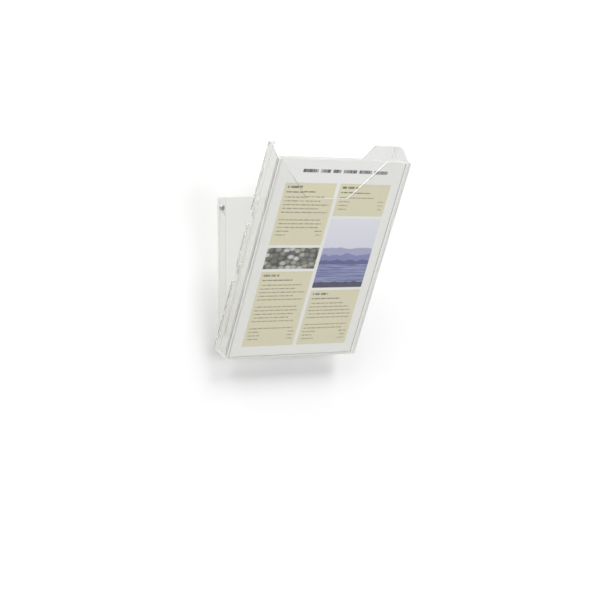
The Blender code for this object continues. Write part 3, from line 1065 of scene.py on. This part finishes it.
class Bench:
    """Modelling steps shared by the pieces that are made here."""

    @staticmethod
    def clear_selection() -> None:
        """Leave edit mode and select nothing."""
        if bpy.context.object is not None and bpy.context.object.mode != "OBJECT":
            bpy.ops.object.mode_set(mode="OBJECT")
        bpy.ops.object.select_all(action="DESELECT")

    @staticmethod
    def take_up(piece: bpy.types.Object) -> None:
        """Select one piece alone and make it the active one.

        Args:
            piece: The piece.
        """
        Bench.clear_selection()
        bpy.context.view_layer.objects.active = piece
        piece.select_set(True)

    @staticmethod
    def settled(name: str) -> bpy.types.Object:
        """Name the active piece and put its place into its mesh.

        Args:
            name: Name of the piece.

        Returns:
            The piece.
        """
        piece = bpy.context.object
        piece.name = name
        piece.data.name = name
        bpy.ops.object.transform_apply(location=True, rotation=True, scale=True)
        return piece

    @staticmethod
    def edit_all() -> None:
        """Enter edit mode with every corner and edge selected."""
        bpy.ops.object.mode_set(mode="EDIT")
        bpy.ops.mesh.select_mode(type=Pick.EDGES.value)
        bpy.ops.mesh.select_all(action="SELECT")

    @staticmethod
    def face_outwards() -> None:
        """Turn the faces of the piece in edit mode outwards and leave edit mode."""
        bpy.ops.mesh.select_all(action="SELECT")
        bpy.ops.mesh.normals_make_consistent(inside=False)
        bpy.ops.object.mode_set(mode="OBJECT")

    @staticmethod
    def select(pick: Pick, test: Callable[[Vector, Vector], bool]) -> None:
        """Select edges or faces of the piece in edit mode.

        Args:
            pick: What to select.
            test: Takes the middle and the normal, or an edge's direction, and says whether it is wanted.
        """
        bpy.ops.mesh.select_mode(type=pick.value)
        bpy.ops.mesh.select_all(action="DESELECT")
        mesh = bpy.context.object.data
        shape = bmesh.from_edit_mesh(mesh)
        if pick is Pick.FACES:
            for face in shape.faces:
                face.select_set(test(face.calc_center_median(), face.normal))
        else:
            for edge in shape.edges:
                first, second = (v.co for v in edge.verts)
                edge.select_set(test((first + second) / 2, (second - first).normalized()))
        bmesh.update_edit_mesh(mesh)

    @staticmethod
    def apply(piece: bpy.types.Object, kind: str, **settings: Any) -> None:
        """Add a modifier and apply it.

        Args:
            piece: The piece.
            kind: Blender's type of modifier.
            settings: Its properties.
        """
        Bench.take_up(piece)
        tool = piece.modifiers.new(kind.lower(), kind)
        for key, value in settings.items():
            setattr(tool, key, value)
        bpy.ops.object.modifier_apply(modifier=tool.name)

    @staticmethod
    def plate(name: str, width: float, height: float, centre: Vector) -> bpy.types.Object:
        """Start an upright plane that looks to the front.

        Args:
            name: Name of the piece.
            width: Size along X.
            height: Size along Z.
            centre: Middle of the plane.

        Returns:
            The plane.
        """
        Bench.clear_selection()
        bpy.ops.mesh.primitive_plane_add(size=1.0, location=centre, rotation=UPRIGHT)
        bpy.context.object.scale = (width, height, 1.0)
        return Bench.settled(name)

    @staticmethod
    def join(name: str, pieces: Sequence[bpy.types.Object]) -> bpy.types.Object:
        """Join shapes into one piece.

        Args:
            name: Name of the piece.
            pieces: The shapes.

        Returns:
            The joined piece.
        """
        Bench.take_up(pieces[0])
        for piece in pieces:
            piece.select_set(True)
        bpy.ops.object.join()
        return Bench.settled(name)

    @staticmethod
    def turned(name: str, axis: Vector, rings: Sequence[Ring], segments: int) -> bpy.types.Object:
        """Shape a circle, ring by ring, into a piece turned about an axis that runs into the wall.

        Args:
            name: Name of the piece.
            axis: A point on the axis.
            rings: The rings in order; a last ring equal to the first closes a tube.
            segments: Corners of each ring.

        Returns:
            The closed piece.
        """
        first = rings[0]
        start = (axis.x, first.depth, axis.z)
        Bench.clear_selection()
        bpy.ops.mesh.primitive_circle_add(
            vertices=segments, radius=first.radius, location=start, rotation=UPRIGHT
        )
        made = Bench.settled(name)
        Bench.edit_all()
        for last, ring in zip(rings, rings[1:]):
            step = (0.0, ring.depth - last.depth, 0.0)
            share = ring.radius / last.radius
            centre = (axis.x, ring.depth, axis.z)
            bpy.ops.mesh.extrude_region_move(TRANSFORM_OT_translate={"value": step})
            bpy.ops.transform.resize(value=(share, 1.0, share), center_override=centre)
        bpy.ops.mesh.select_all(action="SELECT")
        bpy.ops.mesh.remove_doubles(threshold=WELD_WITHIN)
        bpy.ops.mesh.fill_holes(sides=0)
        Bench.face_outwards()
        return made

    @staticmethod
    def wedge(name: str, centre: Vector, size: Vector, turn: float, taper: float) -> bpy.types.Object:
        """Make a block that narrows towards the wall, as a tool to cut with.

        Args:
            name: Name of the block.
            centre: Its middle.
            size: Its sizes along X, Y and Z before it is turned.
            turn: Angle about the axis that runs into the wall.
            taper: Size of the end nearest the wall, as a share of the other end.

        Returns:
            The block.
        """
        Bench.clear_selection()
        bpy.ops.mesh.primitive_cube_add(size=1.0, location=centre, rotation=(0.0, turn, 0.0), scale=size)
        made = Bench.settled(name)
        bpy.ops.object.mode_set(mode="EDIT")
        Bench.select(Pick.FACES, lambda _, normal: normal.y > SQUARE_ON)
        bpy.ops.transform.resize(value=(taper, 1.0, taper), center_override=centre)
        bpy.ops.object.mode_set(mode="OBJECT")
        return made

    @staticmethod
    def cut(piece: bpy.types.Object, tool: bpy.types.Object) -> None:
        """Cut a block out of a piece and throw the block away."""
        Bench.apply(piece, "BOOLEAN", operation="DIFFERENCE", solver="EXACT", object=tool)
        bpy.data.objects.remove(tool, do_unlink=True)

    @staticmethod
    def smooth(piece: bpy.types.Object, angle: float) -> None:
        """Shade a piece smooth, apart from edges that are sharper than an angle."""
        Bench.take_up(piece)
        bpy.ops.object.shade_smooth_by_angle(angle=angle)

    @staticmethod
    def dress(piece: bpy.types.Object, materials: Sequence[bpy.types.Material]) -> None:
        """Give a piece its materials and no others.

        Args:
            piece: The piece.
            materials: The materials, in the order of its slots.
        """
        piece.data.materials.clear()
        for material in materials:
            piece.data.materials.append(material)


@dataclass
class ClearSheets:
    """The clear sheets of the pocket and the bracket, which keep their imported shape."""

    finish: ClearSheetFinish

    FACINGS = {
        "back_panel": Facing.LEANING_FRONT,
        "front_panel": Facing.LEANING_FRONT,
        "floor_panel": Facing.LEANING_FLOOR,
        "left_side_wall": Facing.FLANGED_SIDE,
        "right_side_wall": Facing.FLANGED_SIDE,
        "carrier_plate": Facing.LEANING_FRONT,
        "left_cheek": Facing.SIDE,
        "right_cheek": Facing.SIDE,
        "left_wall_flange": Facing.WALL,
        "right_wall_flange": Facing.WALL,
        "upper_left_hook": Facing.SIDE,
        "upper_right_hook": Facing.SIDE,
        "lower_left_hook": Facing.SIDE,
        "lower_right_hook": Facing.SIDE,
    }

    def dress(self) -> None:
        """Give every clear sheet its finish."""
        for node, facing in self.FACINGS.items():
            sheet = frame["nodes"][node]
            Bench.dress(sheet, [self.finish.material(f"{node}_clear", facing)])
            log.info("dressed %s", node)


@dataclass
class WallFastener:
    """A turned piece that runs into the wall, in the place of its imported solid."""

    axis: Vector
    start: float
    end: float
    radius: float

    @classmethod
    def in_place_of(cls, node: str) -> Self:
        """Take the place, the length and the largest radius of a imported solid."""
        low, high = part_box(node)
        return cls((low + high) / 2, low.y, high.y, (high.x - low.x) / 2)


@dataclass
class WallScrew(WallFastener):
    """A domed cross-head screw with a cut thread."""

    head_height: float = 0.0026
    dome_height: float = 0.0016
    dome_steps: int = 8
    flat_share: float = 0.08
    core_radius: float = 0.00145
    thread_radius: float = 0.0019
    thread_steps: int = 24
    pitch: float = 0.0014
    ridge_radius: float = pitch / 3
    ridge_corners: int = 3
    point: float = 0.004
    recess: Vector = Vector((0.0046, 0.0032, 0.0011))
    recess_turn: float = math.radians(22)
    recess_taper: float = 0.5
    segments: int = 48
    sharp_angle: float = math.radians(32)

    def rings(self) -> list[Ring]:
        """Rings from the crown of the head to the point."""
        dome = []
        for step in range(self.dome_steps + 1):
            angle = math.pi / 2 * step / self.dome_steps
            radius = self.radius * max(math.sin(angle), self.flat_share)
            dome.append(Ring(radius, self.start + self.dome_height * (1.0 - math.cos(angle))))
        seat = self.start + self.head_height
        core = self.core_radius
        shank = [Ring(self.radius, seat), Ring(core, seat), Ring(core, self.end - self.point)]
        return dome + shank + [Ring(core * self.flat_share, self.end)]

    def thread(self, name: str) -> bpy.types.Object:
        """Wind a ridge round the core.

        Args:
            name: Name of the ridge.

        Returns:
            The ridge.
        """
        start = self.start + self.head_height + self.pitch
        turns = math.floor((self.end - self.point - start) / self.pitch)
        Bench.clear_selection()
        bpy.ops.mesh.primitive_circle_add(
            vertices=self.ridge_corners,
            radius=self.ridge_radius,
            location=(self.axis.x, 0.0, self.axis.z),
            rotation=(0.0, 0.0, -math.pi / 2),
        )
        bpy.ops.object.transform_apply(location=False, rotation=True, scale=True)
        Bench.edit_all()
        bpy.ops.transform.translate(value=(self.thread_radius - self.ridge_radius, start, 0.0))
        bpy.ops.object.mode_set(mode="OBJECT")
        Bench.apply(
            bpy.context.object,
            "SCREW",
            axis="Y",
            screw_offset=self.pitch,
            iterations=turns,
            steps=self.thread_steps,
            render_steps=self.thread_steps,
        )
        ridge = Bench.settled(name)
        Bench.edit_all()
        bpy.ops.mesh.fill_holes(sides=0)
        Bench.face_outwards()
        return ridge

    def build(self, name: str) -> bpy.types.Object:
        """Model the screw.

        Args:
            name: Name of the piece.

        Returns:
            The screw.
        """
        screw = Bench.turned(name, self.axis, self.rings(), self.segments)
        mouth = Vector((self.axis.x, self.start, self.axis.z))
        for turn in (self.recess_turn, self.recess_turn + math.pi / 2):
            Bench.cut(screw, Bench.wedge(f"{name}_recess", mouth, self.recess, turn, self.recess_taper))
        screw = Bench.join(name, [screw, self.thread(f"{name}_thread")])
        Bench.smooth(screw, self.sharp_angle)
        Bench.dress(screw, [SteelFinish(self.axis).material(f"{name}_zinc")])
        return screw


@dataclass
class WallPlug(WallFastener):
    """A ribbed nylon plug with a split end."""

    collar: float = 0.001
    body_radius: float = 0.003
    bore: float = 0.0023
    mouth_bore: float = 0.0026
    ribs: int = 9
    rib_depth: float = 0.0003
    ribbed_from: float = 0.35
    tip_radius: float = 0.0026
    slit: float = 0.0009
    slit_share: float = 0.62
    segments: int = 40
    sharp_angle: float = math.radians(25)

    def rings(self) -> list[Ring]:
        """Rings from the mouth over the outside to the tip and back through the bore."""
        neck = self.start + self.collar
        rings = [Ring(self.mouth_bore, self.start), Ring(self.radius, self.start)]
        rings += [Ring(self.radius, neck), Ring(self.body_radius, neck)]
        first = self.start + (self.end - self.start) * self.ribbed_from
        step = (self.end - first) / self.ribs
        for rib in range(self.ribs):
            rings.append(Ring(self.body_radius, first + rib * step))
            rings.append(Ring(self.body_radius - self.rib_depth, first + rib * step))
        rings += [Ring(self.tip_radius, self.end), Ring(self.bore, self.end), Ring(self.bore, neck)]
        return rings + rings[:1]

    def build(self, name: str) -> bpy.types.Object:
        """Model the plug.

        Args:
            name: Name of the piece.

        Returns:
            The plug.
        """
        plug = Bench.turned(name, self.axis, self.rings(), self.segments)
        # The slit is open at the end, so its block stands half beyond it and is wider than the plug.
        length = (self.end - self.start) * self.slit_share
        middle = Vector((self.axis.x, self.end, self.axis.z))
        across = Vector((self.slit, 2 * length, 4 * self.body_radius))
        Bench.cut(plug, Bench.wedge(f"{name}_slit", middle, across, 0.0, 1.0))
        Bench.smooth(plug, self.sharp_angle)
        Bench.dress(plug, [NylonFinish().material(f"{name}_nylon")])
        return plug


@dataclass
class Fasteners:
    """The wall screws and their plugs, which stay with the bracket."""

    BODY = "bracket"

    def keep(self, piece: bpy.types.Object, node: str) -> None:
        """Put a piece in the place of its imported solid.

        Args:
            piece: The piece.
            node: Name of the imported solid.
        """
        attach(piece, self.BODY)
        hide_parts(node)
        log.info("built %s with %d faces", piece.name, len(piece.data.polygons))

    def build(self) -> None:
        """Model and place the screws and plugs."""
        for side in Side:
            screw = f"{side.value}_wall_screw"
            plug = f"{side.value}_wall_plug"
            self.keep(WallScrew.in_place_of(screw).build(f"{screw}_steel"), screw)
            self.keep(WallPlug.in_place_of(plug).build(f"{plug}_ribbed"), plug)


@dataclass
class LeafletStack:
    """Folded leaflets of nested sheets, standing in the pocket with their spines on the left."""

    lean: LeaningFrame
    sheets: int = 4
    paper: float = 0.0001
    weld: float = 0.00001
    fold_steps: int = 8
    stray: float = 0.0008
    seed: int = 5

    @staticmethod
    def names() -> list[str]:
        """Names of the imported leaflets, front one first."""
        return sorted(n for n in frame["nodes"] if n.startswith("leaflet_"))

    def folded_sheet(self, name: str, low: Vector, high: Vector, radius: float) -> bpy.types.Object:
        """Model one sheet folded round the spine.

        Args:
            name: Name of the sheet.
            low: Lowest corner of the leaflet in the leaning frame.
            high: Highest corner there.
            radius: Radius of the fold at the sheet's middle.

        Returns:
            The sheet, in the leaning frame.
        """
        middle = (low + high) / 2
        fold_x = low.x + (high.y - low.y) / 2
        fold = (fold_x, middle.y, middle.z)
        width = high.x - fold_x
        centre = Vector((fold_x + width / 2, middle.y - radius, middle.z))
        sheet = Bench.plate(name, width, high.z - low.z, centre)
        bpy.ops.object.mode_set(mode="EDIT")
        Bench.select(Pick.EDGES, lambda spot, _: spot.x < fold_x + self.paper)
        bpy.ops.mesh.spin(steps=self.fold_steps, angle=-math.pi, center=fold, axis=(0.0, 0.0, 1.0))
        bpy.ops.mesh.extrude_region_move(TRANSFORM_OT_translate={"value": (width, 0.0, 0.0)})
        bpy.ops.mesh.select_all(action="SELECT")
        bpy.ops.mesh.remove_doubles(threshold=self.weld)
        Bench.face_outwards()
        Bench.apply(sheet, "SOLIDIFY", thickness=self.paper, offset=0.0, use_even_offset=True)
        return sheet

    def leaflet(self, node: str, shift: float) -> bpy.types.Object:
        """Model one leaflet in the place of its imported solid.

        Args:
            node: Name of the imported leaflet.
            shift: How far it stands off the middle, along X.

        Returns:
            The leaflet, in its place.
        """
        low, high = self.lean.box(node)
        reach = (high.y - low.y - self.paper) / 2
        layers = 2 * self.sheets - 1
        sheets = []
        for index in range(self.sheets):
            radius = reach * (layers - 2 * index) / layers
            sheets.append(self.folded_sheet(f"{node}_sheet_{index + 1}", low, high, radius))
        leaflet = Bench.join(f"{node}_paper", sheets)
        leaflet.data.transform(self.lean.matrix() @ Matrix.Translation((shift, 0.0, 0.0)))
        return leaflet

    def dress(self, leaflet: bpy.types.Object, node: str, shift: float) -> None:
        """Print the leaflet's front and back and leave its pages white.

        Args:
            leaflet: The leaflet.
            node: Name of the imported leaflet.
            shift: How far it stands off the middle, along X.
        """
        low, high = self.lean.box(node)
        finish = PageFinish(self.lean, low.x + shift, high.x + shift, high.z)
        makers = (finish.plain, finish.front, finish.rear, finish.cut)
        Bench.dress(leaflet, [make(f"{node}_{leaf.name.lower()}") for leaf, make in zip(Leaf, makers)])
        inverse = self.lean.matrix().inverted()
        for face in leaflet.data.polygons:
            depth = (inverse @ face.center).y
            look = face.normal.dot(self.lean.rear)
            if look < -SQUARE_ON and depth < low.y + self.paper / 2:
                face.material_index = Leaf.FRONT.value
            elif look > SQUARE_ON and depth > high.y - self.paper / 2:
                face.material_index = Leaf.REAR.value
            elif abs(face.normal.dot(self.lean.up)) > SQUARE_ON or face.normal.x > SQUARE_ON:
                face.material_index = Leaf.CUT.value

    def build(self) -> None:
        """Model, print and place every leaflet."""
        draw = random.Random(self.seed)
        for index, node in enumerate(self.names()):
            shift = draw.uniform(-self.stray, self.stray) if index else 0.0
            leaflet = self.leaflet(node, shift)
            self.dress(leaflet, node, shift)
            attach(leaflet, node)
            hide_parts(node)
            log.info("built %s with %d faces", leaflet.name, len(leaflet.data.polygons))


def bearing(azimuth: float, elevation: float) -> Vector:
    """Direction to a lamp or camera, from its angles to the right of the front and above level."""
    flat = math.cos(elevation)
    return Vector((math.sin(azimuth) * flat, -math.cos(azimuth) * flat, math.sin(elevation)))


@dataclass(frozen=True)
class SoftLamp:
    """A soft square lamp: its level is what it adds to a white surface that faces it."""

    name: str
    azimuth: float
    elevation: float
    distance: float
    size: float
    level: float


@dataclass
class Studio:
    """The white wall, the soft light and the camera at the photograph's angle."""

    azimuth: float = math.radians(-35.7)
    elevation: float = math.radians(2.24)
    distance: float = 2.366
    focal_pixels: float = 1670.0
    target: Vector = Vector((0.0190, -0.0397, -0.137))
    sensor: float = 36.0
    wall_size: float = 6.0
    wall_gap: float = 0.0002
    clear_layers: int = 32
    lamp_aim: Vector = Vector((0.0, -0.03, -0.06))
    lamps: tuple[SoftLamp, ...] = (
        SoftLamp("overhead_window", math.radians(18), math.radians(54), 9.0, 3.6, 0.76),
        SoftLamp("left_window", math.radians(-49), math.radians(46), 9.0, 4.2, 0.67),
        SoftLamp("right_fill", math.radians(24), math.radians(6), 6.0, 3.0, 0.38),
        SoftLamp("camera_fill", math.radians(-26), math.radians(2), 9.0, 5.0, 0.325),
    )

    @staticmethod
    def stand(name: str, data: bpy.types.ID, aim: Vector, back: Vector) -> bpy.types.Object:
        """Stand a lamp or the camera in the room, looking at a point.

        Args:
            name: Its name.
            data: The lamp or camera.
            aim: The point.
            back: Way from the point to where it stands.

        Returns:
            The new object.
        """
        made = bpy.data.objects.new(name, data)
        made.location = aim + back
        made.rotation_euler = (-back).to_track_quat("-Z", "Y").to_euler()
        bpy.context.scene.collection.objects.link(made)
        return made

    def build_wall(self) -> None:
        """Put up the wall behind the rack."""
        wall = Bench.plate("studio_wall", self.wall_size, self.wall_size, Vector((0.0, self.wall_gap, 0.0)))
        Bench.dress(wall, [WallFinish().material("wall_white")])

    def build_lamp(self, lamp: SoftLamp) -> None:
        """Hang one soft lamp that lights the rack and isn't seen itself.

        Args:
            lamp: The lamp.
        """
        data = bpy.data.lights.new(lamp.name, "AREA")
        data.shape = "SQUARE"
        data.size = lamp.size
        data.energy = lamp.level * (math.pi * lamp.distance) ** 2
        back = bearing(lamp.azimuth, lamp.elevation) * lamp.distance
        holder = self.stand(lamp.name, data, self.lamp_aim, back)
        holder.visible_camera = False
        holder.visible_transmission = False

    def build_camera(self) -> None:
        """Stand the camera where the photograph was taken."""
        data = bpy.data.cameras.new("photo_camera")
        data.sensor_width = self.sensor
        data.lens = self.focal_pixels * self.sensor / FRAME_PIXELS
        back = bearing(self.azimuth, self.elevation) * self.distance
        bpy.context.scene.camera = self.stand("photo_camera", data, self.target, back)

    def build(self) -> None:
        """Set up the studio."""
        scene = bpy.context.scene
        scene.view_settings.view_transform = "Standard"
        scene.cycles.max_bounces = self.clear_layers
        scene.cycles.transmission_bounces = self.clear_layers
        scene.cycles.transparent_max_bounces = self.clear_layers
        self.build_camera()
        self.build_wall()
        for lamp in self.lamps:
            self.build_lamp(lamp)
        scene.world = RoomFinish().world("studio_room")
        log.info("set up the studio")


def main() -> None:
    """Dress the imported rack, build its leaflets and set up the studio."""
    logging.basicConfig(level=logging.INFO, format="%(name)s: %(message)s")
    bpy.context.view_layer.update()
    lean = LeaningFrame.from_pack(frame["joints"])
    Studio().build()
    ClearSheets(ClearSheetFinish(lean)).dress()
    Fasteners().build()
    LeafletStack(lean).build()


if __name__ == "__main__":
    main()
